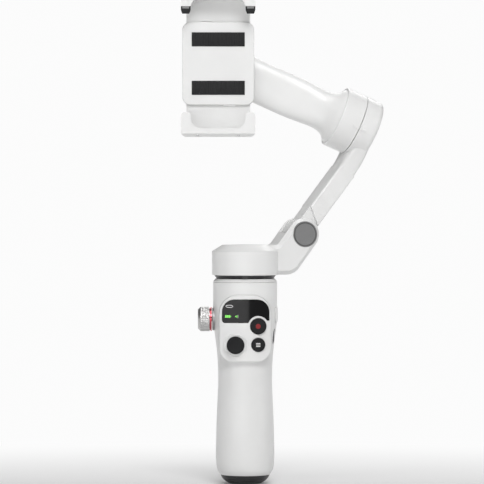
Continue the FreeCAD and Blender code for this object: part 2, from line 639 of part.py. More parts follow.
def make_upper_arm():
    low, high = UPPER_ARM_EDGES
    slab = arm_prism([hinge_frame(0, low), hinge_frame(50, low),
                      hinge_frame(50, high), hinge_frame(0, high)],
                     -UPPER_ARM_HALF, UPPER_ARM_HALF)
    long_edges = [edge for edge in slab.Edges if edge.Length > 45]
    slab = eased(slab, 1.2, long_edges)
    notch_outline = [(4.4, 18.2), (8.9, 6.8), (14, -2), (14, -24), (-26, -24), (-26, 34), (-8, 34)]
    notch_outline = [(HINGE_U + u, HINGE_Z + z) for u, z in notch_outline]
    for n0, n1 in ((KNUCKLE_HALF, 12), (-12, -KNUCKLE_HALF)):
        slab = slab.cut(arm_prism(notch_outline, n0, n1))
        slab = slab.cut(hinge_rod(EAR_R + 0.5, n0, n1))
    knuckle = hinge_rod(KNUCKLE_R, -KNUCKLE_HALF, KNUCKLE_HALF)
    base = TILT_C + TILT_AXIS * 0.2
    drum = rod(base, TILT_AXIS, TILT_R, TILT_BASE_LENGTH - 0.2)
    outer_end = (TILT_C + TILT_AXIS * TILT_BASE_LENGTH).dot(TILT_AXIS)
    drum = eased(drum, 3.4, face_edges(drum, TILT_AXIS, outer_end))
    slope = math.radians(UPPER_ARM_SLOPE)
    rise = ARM_U * math.cos(slope) + EZ * math.sin(slope)
    across = ARM_N.cross(rise)
    if across.z < 0:
        across = across * -1
    mid = 0.5 * (low + high)
    half = 0.5 * (high - low)
    stations = [(48, mid, half, UPPER_ARM_HALF, 7.0),
                (54, mid + 0.3, half, UPPER_ARM_HALF + 0.7, 6.0),
                (60, mid + 1.1, half, 11.4, 5.0),
                (66, mid + 2.4, half - 0.2, 14.2, 4.0),
                (72, mid + 4.2, half - 0.4, 16.6, 3.5)]
    wires = []
    for along, shift, half_across, half_n, power in stations:
        u, z = hinge_frame(along, shift)
        wires.append(section_wire(arm_point(u, 0, z), across, half_across, ARM_N, half_n, power))
    flare = Part.makeLoft(wires, True, False, False, 3)
    ahead = rod(base - TILT_AXIS * 30, TILT_AXIS, TILT_R + 0.6, 30)
    body = joined([slab, knuckle]).fuse(flare).cut(ahead).fuse(drum)
    body = body.cut(rod(base - TILT_AXIS, TILT_AXIS, TILT_INNER_R, 2.4))
    hub = rod(base - TILT_AXIS * 12.0, TILT_AXIS, MOTOR_HUB_R, 16.0)
    body = body.fuse(hub).removeSplitter()
    body = body.cut(rod(base - TILT_AXIS * 13.0, TILT_AXIS, BEARING_OUTER_R, 13.5))
    cover_seat = TILT_C + TILT_AXIS * (TILT_BASE_LENGTH - 1.4)
    body = body.cut(rod(cover_seat, TILT_AXIS, 13.6, 4))
    body = body.cut(hinge_rod(HINGE_PIN_R + RUNNING_GAP, -20, 20))
    tab = index_tab(0.2, 4.6, 1)
    save("upper_arm", joined([body, tab.cut(rod(base, TILT_AXIS, TILT_R - 1, 10))]))
    cover = rod(cover_seat + TILT_AXIS * 0.05, TILT_AXIS, 13.5, 1.35)
    save("tilt_end_cover", eased(cover, 0.4, face_edges(cover, TILT_AXIS, outer_end)))
    make_motor("tilt", TILT_C, TILT_AXIS * -1, 15.2, (1.4, 10.6), (1.0, 11.6), (15.6, TILT_INNER_R),
               (-0.4, 8.4))


def index_tab(start, length, direction):
    """Small raised bar on the rim of the tilt motor that marks its centred position."""
    front = Vector(0, -1, 0)
    up = TILT_AXIS.cross(front)
    if up.z < 0:
        up = up * -1
    up.normalize()
    out = up.cross(TILT_AXIS)
    out.normalize()
    if out.y > 0:
        out = out * -1
    tilt_back = math.radians(-4)
    ray = out * math.cos(tilt_back) + up * math.sin(tilt_back)
    along = TILT_AXIS * direction
    side = ray.cross(along)
    origin = TILT_C + along * start + ray * (TILT_R - 1.5) - side * 0.7
    corners = [origin, origin + side * 1.4, origin + side * 1.4 + ray * 2.0, origin + ray * 2.0]
    return prism(corners, along * length)


# ---------------------------------------------------------------- tilt arm and roll motor

def make_tilt_arm():
    toward = TILT_AXIS * -1
    drum = rod(TILT_C + toward * 0.2, toward, TILT_R, TILT_ROTOR_LENGTH - 0.2)
    far = (TILT_C + toward * TILT_ROTOR_LENGTH).dot(TILT_AXIS)
    drum = eased(drum, 0.7, face_edges(drum, TILT_AXIS, far))
    side = toward.cross(EY)
    side.normalize()
    if side.z < 0:
        side = side * -1
    depth = side.cross(toward)
    depth.normalize()
    if depth.y < 0:
        depth = depth * -1
    roll_centre = Vector(ROLL_X, 21.5, ROLL_Z)
    root = TILT_C + toward * TILT_ROTOR_LENGTH
    run = roll_centre - root
    flat_side = run.cross(EY)
    flat_side.normalize()
    if flat_side.z < 0:
        flat_side = flat_side * -1
    wires = [section_wire(root - toward * 0.8, side, TILT_R - 1.2, depth, TILT_R - 1.2, 2.0),
             section_wire(root + toward * 1.6, side, 16.9, depth, 16.9, 2.0),
             section_wire(root + toward * 4.6, side, 14.2, depth, 13.6, 2.1),
             section_wire(root + run * 0.12, side, 12.8, depth, 10.4, 2.5)]
    for share, half_side, half_depth in ((0.22, 13.0, 8.0), (0.36, 13.6, 6.8), (0.52, 13.6, 6.6),
                                         (0.70, 13.6, 6.6), (0.90, 13.6, 6.6)):
        wires.append(section_wire(root + run * share, flat_side, half_side, EY, half_depth, 3.2))
    arm = Part.makeLoft(wires, True, False, False, 3)
    y0, y1 = ROLL_HOUSING_Y
    can = rod(Vector(ROLL_X, y0, ROLL_Z), EY, ROLL_R, y1 - y0)
    can = eased(can, 2.2, face_edges(can, EY, y1))
    body = arm.fuse(drum).fuse(can).removeSplitter()
    body = body.cut(rod(TILT_C, toward, TILT_INNER_R, 12.2))
    body = body.cut(rod(TILT_C + toward * 12.1, toward, SHAFT_R, 1.2))
    body = body.cut(rod(Vector(ROLL_X, y0 - 1, ROLL_Z), EY, 17.3, 14.5))
    body = body.cut(rod(Vector(ROLL_X, y1 - 1.3, ROLL_Z), EY, 14.6, 3))
    hub = rod(Vector(ROLL_X, y0 + 1.0, ROLL_Z), EY, MOTOR_HUB_R, y1 - y0 - 2.4)
    body = body.fuse(hub).removeSplitter()
    body = body.cut(rod(Vector(ROLL_X, y0, ROLL_Z), EY, BEARING_OUTER_R, 13.2))
    tab = index_tab(0.2, 4.2, -1)
    tab = tab.cut(rod(TILT_C + toward * 0.1, toward, TILT_R - 1, 12))
    save("tilt_arm", joined([body, tab]))
    cover = rod(Vector(ROLL_X, y1 - 1.3, ROLL_Z), EY, 14.5, 1.5)
    save("roll_back_cover", eased(cover, 0.5, face_edges(cover, EY, y1 + 0.2)))
    save("tilt_shaft", rod(TILT_C + toward * -0.3, toward, SHAFT_R, 13.4))
    make_motor("roll", Vector(ROLL_X, y0, ROLL_Z), EY, 15.2, (2.6, 11.8), (-0.5, 12.4),
               (15.5, 16.9), (1.4, 9.6))


# ---------------------------------------------------------------- clamp

def clamp_box(x, y, z):
    """Box measured from the roll axis."""
    return box((ROLL_X + x[0], ROLL_X + x[1]), y, (ROLL_Z + z[0], ROLL_Z + z[1]))


def clamp_round(half_w, half_h, y, radius):
    block = clamp_box((-half_w, half_w), y, (-half_h, half_h))
    return block.makeFillet(radius, edges_along(block, EY))


def make_clamp_body():
    y0, y1 = CLAMP_Y
    case = clamp_round(CLAMP_HALF_W, CLAMP_HALF_H, (y0 + 1.5, y1), 5.0)
    case = eased(case, 1.2, face_edges(case, EY, y1))
    hollow = clamp_box((-21.2, 21.2), (y0, y1 - 1.6), (-CLAMP_HALF_H + 1.8, CLAMP_HALF_H - 1.8))
    mouth = clamp_box((-20.9, 20.9), (y0, y1 - 1.6), (-40, 40))
    case = case.cut(hollow).cut(mouth)
    axle = rod(Vector(ROLL_X, y0 + 2.0, ROLL_Z), EY, 1.5, y1 - 1.6 - y0 - 2.0)
    pegs = [rod(Vector(ROLL_X + s * 15.5, 4.4, ROLL_Z + s * 6.6), EY, 1.1, y1 - 1.6 - 4.4)
            for s in (-1, 1)]
    save("clamp_back_housing", joined([case, axle] + pegs))
    cover = clamp_round(CLAMP_HALF_W, CLAMP_HALF_H, (y0, y0 + 1.5), 5.0)
    save("clamp_front_cover", eased(cover, 0.6, face_edges(cover, EY, y0)))
    pads = [clamp_box((-17, 17), (y0 - 0.8, y0), (s * 15.5 - 4.5, s * 15.5 + 4.5)) for s in (-1, 1)]
    pads = [pad.makeFillet(2.0, edges_along(pad, EY)) for pad in pads]
    save("clamp_pads", Part.makeCompound(pads))
    disc = rod(Vector(ROLL_X, y1, ROLL_Z), EY, 18.2, 2.6)
    disc = eased(disc, 0.5, face_edges(disc, EY, y1 + 2.6))
    shaft = rod(Vector(ROLL_X, y1 + 2.0, ROLL_Z), EY, SHAFT_R, 14.0)
    save("roll_rotor_hub", joined([disc, shaft]))


def rack(x_face, z0, z1, inward):
    """Row of rack teeth that stands on a bar's face toward the pinion."""
    pitch = 2 * math.pi * PINION_PITCH_R / PINION_TEETH
    teeth = []
    count = int((z1 - z0) / pitch)
    phase = 0.5 * pitch
    first = int(math.ceil((z0 - phase) / pitch))
    for k in range(first, first + count):
        z = phase + k * pitch
        outline = [(x_face, z - 0.62), (x_face, z + 0.62),
                   (x_face + inward * 1.45, z + 0.26), (x_face + inward * 1.45, z - 0.26)]
        points = [Vector(ROLL_X + x, 4.4, ROLL_Z + zz) for x, zz in outline]
        teeth.append(prism(points, EY * 3.8))
    return teeth


def make_pinion():
    body = tube(Vector(ROLL_X, 4.6, ROLL_Z), EY, 3.15, 1.5 + RUNNING_GAP, 3.4)
    teeth = [body]
    for k in range(PINION_TEETH):
        angle = 360.0 * k / PINION_TEETH
        outline = [(2.9, -0.62), (4.0, -0.5), (4.55, -0.22), (4.55, 0.22), (4.0, 0.5), (2.9, 0.62)]
        points = [Vector(x, 4.6, z) for x, z in outline]
        tooth = prism(points, EY * 3.4)
        tooth.Placement = Placement(Vector(ROLL_X, 0, ROLL_Z), Rotation(EY, angle))
        teeth.append(tooth)
    save("jaw_pinion", joined(teeth))


def jaw_seat(rubber):
    """Lower jaw, measured from the roll axis: lip with two fingers, seat, back plate and bar."""
    y0, y1 = JAW_LIP_Y
    seat = clamp_box((-JAW_HALF_W, JAW_HALF_W), (y0, 8.4), (-JAW_OUT, -JAW_SEAT))
    lip = clamp_box((-JAW_HALF_W, JAW_HALF_W), (y0, y1), (-JAW_SEAT - 1, -JAW_TIP))
    block = joined([seat, lip])
    outer = [edge for edge in edges_along(block, EY) if edge.CenterOfMass.z < ROLL_Z - JAW_OUT + 1]
    block = eased(block, 3.2, outer)
    cut = clamp_box((-17.4, 17.4), (y0 - 5, 4.0), (-JAW_FLOOR, -20))
    cut = cut.makeFillet(6.5, [edge for edge in edges_along(cut, EY)
                               if edge.CenterOfMass.z < ROLL_Z - 30])
    block = block.cut(cut)
    tips = [edge for edge in edges_along(block, EY) if edge.CenterOfMass.z > ROLL_Z - JAW_TIP - 0.1]
    block = eased(block, 2.4, tips)
    bevel = [(y0 - 1, -JAW_OUT + 2.9), (y0 + 1.9, -JAW_OUT), (y0 + 1.9, -JAW_OUT - 1),
             (y0 - 1, -JAW_OUT - 1)]
    block = block.cut(prism([Vector(ROLL_X - 30, y, ROLL_Z + z) for y, z in bevel], EX * 60))
    bevel = [(y0 - 1, -JAW_TIP - 1.6), (y0 + 1.2, -JAW_TIP + 0.6), (y0 - 1, -JAW_TIP + 0.6)]
    block = block.cut(prism([Vector(ROLL_X - 30, y, ROLL_Z + z) for y, z in bevel], EX * 60))
    tab = clamp_box((-2.0, 2.0), (y0 + 0.3, y0 + 2.0), (-JAW_FLOOR - 0.5, -JAW_FLOOR + 1.3))
    plate = clamp_box((-20.4, 20.4), (4.0, 8.4), (-JAW_SEAT - 1, -17.0))
    plate = eased(plate, 1.0, [edge for edge in edges_along(plate, EY)
                               if edge.CenterOfMass.z > ROLL_Z - 20])
    slot = clamp_box((3.2, 11.0), (3, 9), (-27, -10))
    bar = clamp_box((-10.2, -5.0), (4.4, 8.2), (-20, 10.4))
    body = joined([block, tab, plate]).cut(slot)
    body = joined([body, bar] + rack(-5.05, -11, 9.5, 1))
    for x in (-13.0, 13.0):
        body = body.cut(rod(Vector(ROLL_X + x, -10.4, ROLL_Z - JAW_OUT - 1), EZ, 0.9, 3.4))
    if rubber == "tips":
        body = body.cut(clamp_box((-30, 30), (y0 - 1, y1), (-36.0, -25)))
    return body


def seat_pads(with_tips):
    pads = []
    for s in (-1, 1):
        x = (17.9, 23.2) if s > 0 else (-23.2, -17.9)
        pads.append(clamp_box(x, (-8.9, 3.4), (-JAW_SEAT, -JAW_SEAT + 1.0)))
        if with_tips:
            x = (17.5, JAW_HALF_W) if s > 0 else (-JAW_HALF_W, -17.5)
            tip = clamp_box(x, (JAW_LIP_Y[0] + 0.1, JAW_LIP_Y[1]), (-36.0, -JAW_TIP))
            pads.append(eased(tip, 1.2, [edge for edge in edges_along(tip, EY)
                                         if edge.CenterOfMass.z > ROLL_Z - 33]))
    return pads


def turned(shape):
    """The upper jaw is the lower one turned half a turn about the roll axis."""
    copy = shape.copy()
    copy.rotate(Vector(ROLL_X, 0, ROLL_Z), EY, 180)
    return copy


def make_jaws():
    save("lower_jaw", jaw_seat("none"))
    save("upper_jaw", turned(jaw_seat("tips")))
    save("lower_jaw_pads", Part.makeCompound(seat_pads(False)))
    save("upper_jaw_pads", Part.makeCompound([turned(pad) for pad in seat_pads(True)]))
    low = spring(Vector(ROLL_X + 15.5, 6.2, ROLL_Z - 16.6), EZ, 1.7, 0.28, 21.5, 11)
    save("lower_jaw_spring", low)
    save("upper_jaw_spring", turned(low))


# ---------------------------------------------------------------- build

make_handle_shells()
make_control_panel()
make_button("record_button", RECORD_XZ, RECORD_R)
make_button("mode_button", MODE_XZ, MODE_R)
make_circuit_boards()
make_joystick()
make_focus_wheel()
make_power_key()
make_usb_socket()
make_trigger()
make_battery()
make_base()
make_top_cap()
make_pan_motor()
make_lower_arm()
make_hinge_pieces()
make_upper_arm()
make_tilt_arm()
make_clamp_body()
make_pinion()
make_jaws()
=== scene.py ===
import json
import math

import bmesh
import bpy
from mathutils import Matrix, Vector


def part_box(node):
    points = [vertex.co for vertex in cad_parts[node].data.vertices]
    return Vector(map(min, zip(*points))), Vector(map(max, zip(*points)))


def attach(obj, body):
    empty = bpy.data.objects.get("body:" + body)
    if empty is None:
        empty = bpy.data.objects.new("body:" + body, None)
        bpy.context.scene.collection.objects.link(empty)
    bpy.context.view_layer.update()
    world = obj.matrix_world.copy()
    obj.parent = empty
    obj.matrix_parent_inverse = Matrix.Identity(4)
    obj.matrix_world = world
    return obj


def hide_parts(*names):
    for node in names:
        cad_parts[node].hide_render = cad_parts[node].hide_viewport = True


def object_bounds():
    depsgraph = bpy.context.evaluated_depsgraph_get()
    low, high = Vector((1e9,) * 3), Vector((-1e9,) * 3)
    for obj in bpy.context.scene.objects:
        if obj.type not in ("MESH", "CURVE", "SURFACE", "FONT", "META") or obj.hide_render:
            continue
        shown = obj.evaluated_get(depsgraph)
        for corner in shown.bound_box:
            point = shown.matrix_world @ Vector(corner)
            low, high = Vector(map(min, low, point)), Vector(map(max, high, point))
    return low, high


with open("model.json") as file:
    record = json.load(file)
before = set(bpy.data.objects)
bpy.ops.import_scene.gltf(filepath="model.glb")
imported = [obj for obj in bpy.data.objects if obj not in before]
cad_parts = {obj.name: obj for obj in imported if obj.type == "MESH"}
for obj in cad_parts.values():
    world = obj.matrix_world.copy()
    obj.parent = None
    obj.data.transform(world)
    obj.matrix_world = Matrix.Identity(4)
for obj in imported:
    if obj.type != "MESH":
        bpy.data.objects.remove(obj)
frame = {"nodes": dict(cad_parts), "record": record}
cad_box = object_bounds()

NODES = frame["nodes"]
RECORD = frame["record"]
MM = 0.001

# ---------------------------------------------------------------- camera

VIEW_SPAN = 0.3098
VIEW_CENTRE = Vector((-0.002, 0.0, 0.1543))
CAMERA_DISTANCE = 2.2
CAMERA_HEIGHT = 0.19
SENSOR_MM = 36.0


def make_camera():
    data = bpy.data.cameras.new("camera")
    data.sensor_width = SENSOR_MM
    data.lens = SENSOR_MM * CAMERA_DISTANCE / VIEW_SPAN
    data.clip_end = 50.0
    camera = bpy.data.objects.new("camera", data)
    camera.location = (VIEW_CENTRE.x, -CAMERA_DISTANCE, CAMERA_HEIGHT)
    aim = VIEW_CENTRE - camera.location
    camera.rotation_euler = aim.to_track_quat("-Z", "Y").to_euler()
    bpy.context.scene.collection.objects.link(camera)
    bpy.context.scene.camera = camera


# ---------------------------------------------------------------- lights and stage

def place_light(name, azimuth, elevation, distance, size, power):
    """A softbox that looks at the middle of the object. Azimuth 0 is beside the camera."""
    data = bpy.data.lights.new(name, "AREA")
    data.shape = "RECTANGLE"
    data.size, data.size_y = size
    data.energy = power
    light = bpy.data.objects.new(name, data)
    a, e = math.radians(azimuth), math.radians(elevation)
    away = Vector((math.sin(a) * math.cos(e), -math.cos(a) * math.cos(e), math.sin(e)))
    middle = (cad_box[0] + cad_box[1]) / 2
    light.location = middle + away * distance
    light.rotation_euler = (-away).to_track_quat("-Z", "Y").to_euler()
    light.visible_camera = False
    bpy.context.scene.collection.objects.link(light)


def make_lights():
    place_light("key_softbox", 8, 40, 1.6, (0.7, 0.7), 14.6)
    place_light("front_left_softbox", -24, 0, 1.6, (1.9, 0.36), 5.8)
    place_light("top_softbox", 0, 82, 1.5, (0.8, 0.8), 5.6)
    place_light("right_strip", 70, 5, 1.6, (0.25, 1.0), 2.0)
    place_light("back_softbox", 170, 35, 1.9, (1.2, 0.8), 8.0)


WORLD_AMBIENT = 0.16
WORLD_HORIZON = 0.97
FRONT_SHARE = 0.6
FRONT_TO_BACK = (-0.35, 0.35)
HORIZON_BAND = (0.07, 0.16)
WHITE = (1, 1, 1, 1)


def backdrop_share(nodes, links, direction):
    """1 behind the object, falling to FRONT_SHARE on the side that the light comes from."""
    split = nodes.new("ShaderNodeSeparateXYZ")
    share = nodes.new("ShaderNodeMapRange")
    share.interpolation_type = "SMOOTHSTEP"
    share.inputs["From Min"].default_value = FRONT_TO_BACK[0]
    share.inputs["From Max"].default_value = FRONT_TO_BACK[1]
    share.inputs["To Min"].default_value = FRONT_SHARE
    links.new(direction, split.inputs[0])
    links.new(split.outputs["Y"], share.inputs["Value"])
    return share.outputs["Result"]


def make_world():
    """Soft white surroundings, whitest round the horizon, where the floor fades into them."""
    world = bpy.data.worlds.new("studio")
    bpy.context.scene.world = world
    world.use_nodes = True
    tree = world.node_tree
    nodes, links = tree.nodes, tree.links
    nodes.clear()
    coords = nodes.new("ShaderNodeTexCoord")
    split = nodes.new("ShaderNodeSeparateXYZ")
    height = nodes.new("ShaderNodeMath")
    height.operation = "ABSOLUTE"
    fall = nodes.new("ShaderNodeMapRange")
    fall.interpolation_type = "SMOOTHSTEP"
    fall.inputs["From Min"].default_value = HORIZON_BAND[0]
    fall.inputs["From Max"].default_value = HORIZON_BAND[1]
    fall.inputs["To Min"].default_value = WORLD_HORIZON
    fall.inputs["To Max"].default_value = WORLD_AMBIENT
    background = nodes.new("ShaderNodeBackground")
    background.inputs["Color"].default_value = WHITE
    output = nodes.new("ShaderNodeOutputWorld")
    links.new(coords.outputs["Generated"], split.inputs[0])
    links.new(split.outputs["Z"], height.inputs[0])
    links.new(height.outputs[0], fall.inputs["Value"])
    share = backdrop_share(nodes, links, coords.outputs["Generated"])
    strength = nodes.new("ShaderNodeMath")
    strength.operation = "MULTIPLY"
    links.new(fall.outputs["Result"], strength.inputs[0])
    links.new(share, strength.inputs[1])
    links.new(strength.outputs[0], background.inputs["Strength"])
    links.new(background.outputs[0], output.inputs[0])


FLOOR_RADIUS = 9.0
FLOOR_DROP = 0.2 * MM
FLOOR_COLOR = (0.86, 0.86, 0.86, 1)
FLOOR_FADE_CENTRE = Vector((0.0, -0.5, 0.0))
FLOOR_FADE = (0.42, 0.85)


def make_floor():
    """A pale floor under the object that fades into the surroundings further out."""
    mesh = bpy.data.meshes.new("floor")
    bm = bmesh.new()
    bmesh.ops.create_circle(bm, cap_ends=True, segments=96, radius=FLOOR_RADIUS)
    bm.to_mesh(mesh)
    bm.free()
    floor = bpy.data.objects.new("floor", mesh)
    floor.location.z = cad_box[0].z - FLOOR_DROP
    bpy.context.scene.collection.objects.link(floor)
    material = bpy.data.materials.new("pale_floor")
    material.use_nodes = True
    nodes, links = material.node_tree.nodes, material.node_tree.links
    shader = nodes["Principled BSDF"]
    shader.inputs["Base Color"].default_value = FLOOR_COLOR
    shader.inputs["Roughness"].default_value = 0.6
    shader.inputs["Specular IOR Level"].default_value = 0.25
    glow = nodes.new("ShaderNodeEmission")
    glow.inputs["Color"].default_value = WHITE
    blend = nodes.new("ShaderNodeMixShader")
    coords = nodes.new("ShaderNodeTexCoord")
    reach = nodes.new("ShaderNodeVectorMath")
    reach.operation = "DISTANCE"
    reach.inputs[1].default_value = FLOOR_FADE_CENTRE
    fade = nodes.new("ShaderNodeMapRange")
    fade.interpolation_type = "SMOOTHSTEP"
    fade.inputs["From Min"].default_value = FLOOR_FADE[0]
    fade.inputs["From Max"].default_value = FLOOR_FADE[1]
    outward = nodes.new("ShaderNodeVectorMath")
    outward.operation = "NORMALIZE"
    links.new(coords.outputs["Object"], outward.inputs[0])
    share = backdrop_share(nodes, links, outward.outputs["Vector"])
    strength = nodes.new("ShaderNodeMath")
    strength.operation = "MULTIPLY"
    strength.inputs[1].default_value = WORLD_HORIZON
    links.new(share, strength.inputs[0])
    links.new(strength.outputs[0], glow.inputs["Strength"])
    links.new(coords.outputs["Object"], reach.inputs[0])
    links.new(reach.outputs["Value"], fade.inputs["Value"])
    links.new(fade.outputs["Result"], blend.inputs[0])
    links.new(shader.outputs[0], blend.inputs[1])
    links.new(glow.outputs[0], blend.inputs[2])
    links.new(blend.outputs[0], nodes["Material Output"].inputs["Surface"])
    floor.data.materials.append(material)


# ---------------------------------------------------------------- materials

NOISE_SPREAD = (0.3, 0.7)


class Finish:
    """A Principled material with helpers that add the detail of a real surface to it."""

    def __init__(self, name, color, roughness, metallic=0.0):
        self.material = bpy.data.materials.new(name)
        self.material.use_nodes = True
        tree = self.material.node_tree
        self.nodes, self.links = tree.nodes, tree.links
        self.shader = self.nodes["Principled BSDF"]
        self.color = color
        self.roughness = roughness
        self.shader.inputs["Base Color"].default_value = (*color, 1)
        self.shader.inputs["Roughness"].default_value = roughness
        self.shader.inputs["Metallic"].default_value = metallic
        coords = self.nodes.new("ShaderNodeTexCoord")
        self.place = coords.outputs["Object"]
        self.normal = None

    def set(self, **values):
        """Set sockets of the shader; an underscore stands for a space in a socket's name."""
        for key, value in values.items():
            self.shader.inputs[key.replace("_", " ")].default_value = value
        return self

    def noise(self, size, detail=2.0, stretch=None):
        """Noise whose grains are about size metres across, drawn out along an axis if asked."""
        texture = self.nodes.new("ShaderNodeTexNoise")
        texture.inputs["Scale"].default_value = 1.0 / size
        texture.inputs["Detail"].default_value = detail
        source = self.place
        if stretch is not None:
            mapping = self.nodes.new("ShaderNodeMapping")
            mapping.inputs["Scale"].default_value = stretch
            self.links.new(source, mapping.inputs["Vector"])
            source = mapping.outputs["Vector"]
        self.links.new(source, texture.inputs["Vector"])
        return texture.outputs["Fac"]

    def ranged(self, value, low, high):
        """Spread noise, most of which lies within NOISE_SPREAD, from low to high."""
        node = self.nodes.new("ShaderNodeMapRange")
        node.inputs["From Min"].default_value = NOISE_SPREAD[0]
        node.inputs["From Max"].default_value = NOISE_SPREAD[1]
        node.inputs["To Min"].default_value = low
        node.inputs["To Max"].default_value = high
        self.links.new(value, node.inputs["Value"])
        return node.outputs["Result"]

    def tint(self, value, darker, lighter):
        """Colour that drifts between two strengths of the base colour."""
        mix = self.nodes.new("ShaderNodeMix")
        mix.data_type = "RGBA"
        mix.inputs[6].default_value = (*[c * darker for c in self.color], 1)
        mix.inputs[7].default_value = (*[min(1.0, c * lighter) for c in self.color], 1)
        self.links.new(value, mix.inputs[0])
        self.links.new(mix.outputs[2], self.shader.inputs["Base Color"])
        return self

    def rough(self, value, spread):
        """Roughness that drifts by spread to either side of the base roughness."""
        result = self.ranged(value, self.roughness - spread, self.roughness + spread)
        self.links.new(result, self.shader.inputs["Roughness"])
        return self

    def bump(self, value, depth, strength=1.0):
        """Relief about depth metres deep, on top of any relief that is there already."""
        node = self.nodes.new("ShaderNodeBump")
        node.inputs["Distance"].default_value = depth
        node.inputs["Strength"].default_value = strength
        self.links.new(value, node.inputs["Height"])
        if self.normal is not None:
            self.links.new(self.normal, node.inputs["Normal"])
        self.normal = node.outputs["Normal"]
        self.links.new(self.normal, self.shader.inputs["Normal"])
        return self

    def soft_edges(self, radius):
        """A fine highlight along the edges, as the radius that every moulded edge has."""
        node = self.nodes.new("ShaderNodeBevel")
        node.samples = 4
        node.inputs["Radius"].default_value = radius
        self.normal = node.outputs["Normal"]
        self.links.new(self.normal, self.shader.inputs["Normal"])
        return self


def moulded(name, color, roughness, grain=0.35 * MM, depth=0.012 * MM, edge=0.18 * MM):
    """Moulded plastic: fine spark-eroded grain, a slight flow of tone and slightly eased edges."""
    finish = Finish(name, color, roughness)
    finish.soft_edges(edge)
    finish.tint(finish.ranged(finish.noise(22 * MM, 3.0), 0, 1), 0.975, 1.015)
    finish.rough(finish.noise(6 * MM, 4.0), 0.035)
    finish.bump(finish.noise(grain, 2.0), depth, 0.5)
    return finish


def metal(name, color, roughness, stretch, grain=0.5 * MM, depth=0.006 * MM):
    """Metal with tool marks drawn out along one direction."""
    finish = Finish(name, color, roughness, metallic=1.0)
    marks = finish.noise(grain, 3.0, stretch)
    finish.tint(finish.ranged(marks, 0, 1), 0.86, 1.06)
    finish.rough(marks, 0.07)
    finish.bump(marks, depth, 0.6)
    return finish


def make_materials():
    """One material for each material slot of the CAD record."""
    made = {}
    white = moulded("white_satin_plastic", (0.74, 0.74, 0.735), 0.36)
    made["white_shell"] = white.set(Coat_Weight=0.12, Coat_Roughness=0.22)
    made["soft_rubber"] = moulded("black_rubber", (0.018, 0.018, 0.019), 0.62, 0.25 * MM, 0.02 * MM)
    made["soft_rubber"].set(Specular_IOR_Level=0.25)
    made["black_button"] = moulded("button_rubber", (0.010, 0.010, 0.011), 0.5, 0.2 * MM, 0.01 * MM)
    made["black_button"].set(Specular_IOR_Level=0.2)
    made["black_plastic"] = moulded("black_satin_plastic", (0.012, 0.012, 0.013), 0.34)
    glass = Finish("display_glass", (0.0006, 0.0006, 0.0008), 0.17)
    glass.rough(glass.noise(4 * MM, 4.0), 0.02)
    glass.tint(glass.ranged(glass.noise(9 * MM, 2.0), 0, 1), 0.9, 1.1)
    made["display_glass"] = glass.set(Specular_IOR_Level=0.25)
    board = Finish("solder_mask", (0.012, 0.10, 0.04), 0.35)
    tracks = board.nodes.new("ShaderNodeTexBrick")
    tracks.inputs["Scale"].default_value = 900.0
    tracks.inputs["Mortar Size"].default_value = 0.03
    board.links.new(board.place, tracks.inputs["Vector"])
    board.tint(tracks.outputs["Fac"], 1.0, 1.7)
    board.bump(tracks.outputs["Fac"], 0.03 * MM)
    made["circuit_board"] = board
    made["grey_metal"] = metal("grey_blasted_metal", (0.33, 0.33, 0.332), 0.46, (1, 1, 1), 0.3 * MM)
    made["wheel_silver"] = metal("silver_anodised", (0.58, 0.575, 0.57), 0.38, (0.1, 1, 1), 0.9 * MM)
    made["red_anodised"] = metal("red_anodised", (0.50, 0.10, 0.12), 0.28, (1, 0.2, 0.2), 0.4 * MM)
    made["battery_wrap"] = moulded("battery_wrap", (0.05, 0.12, 0.32), 0.3)
    made["brass_insert"] = metal("turned_brass", (0.72, 0.50, 0.20), 0.28, (1, 1, 4), 0.3 * MM)
    made["steel"] = metal("ground_steel", (0.58, 0.58, 0.59), 0.27, (0.3, 0.3, 1.6), 0.3 * MM)
    made["motor_iron"] = metal("laminated_iron", (0.34, 0.19, 0.11), 0.45, (0.1, 0.1, 3.0), 0.4 * MM)
    return {slot: finish.material for slot, finish in made.items()}


def dress_cad_nodes(materials):
    slots = {part["node"]: part["material_slot"] for part in RECORD["subparts"]}
    for name, node in NODES.items():
        for holder in node.material_slots:
            holder.material = materials[slots[name]]


# ---------------------------------------------------------------- mesh helpers

def add_piece(name, bm, material, body, smooth_angle=35.0):
    """Turn a bmesh into a piece of the object that rides on a body."""
    bmesh.ops.recalc_face_normals(bm, faces=bm.faces[:])
    mesh = bpy.data.meshes.new(name)
    bm.to_mesh(mesh)
    bm.free()
    for face in mesh.polygons:
        face.use_smooth = True
    mesh.set_sharp_from_angle(angle=math.radians(smooth_angle))
    mesh.materials.append(material)
    piece = bpy.data.objects.new(name, mesh)
    bpy.context.scene.collection.objects.link(piece)
    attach(piece, body)
    return piece


def solid_boxes(node):
    """The (lowest, highest) corners of each separate solid in a CAD node."""
    bm = bmesh.new()
    bm.from_mesh(NODES[node].data)
    bmesh.ops.remove_doubles(bm, verts=bm.verts[:], dist=0.001 * MM)
    left = set(bm.verts)
    boxes = []
    while left:
        front = [left.pop()]
        island = list(front)
        while front:
            vert = front.pop()
            for edge in vert.link_edges:
                other = edge.other_vert(vert)
                if other in left:
                    left.remove(other)
                    front.append(other)
                    island.append(other)
        low = Vector([min(v.co[k] for v in island) for k in range(3)])
        high = Vector([max(v.co[k] for v in island) for k in range(3)])
        boxes.append((low, high))
    bm.free()
    return sorted(boxes, key=lambda pair: (pair[0].z, pair[0].x))


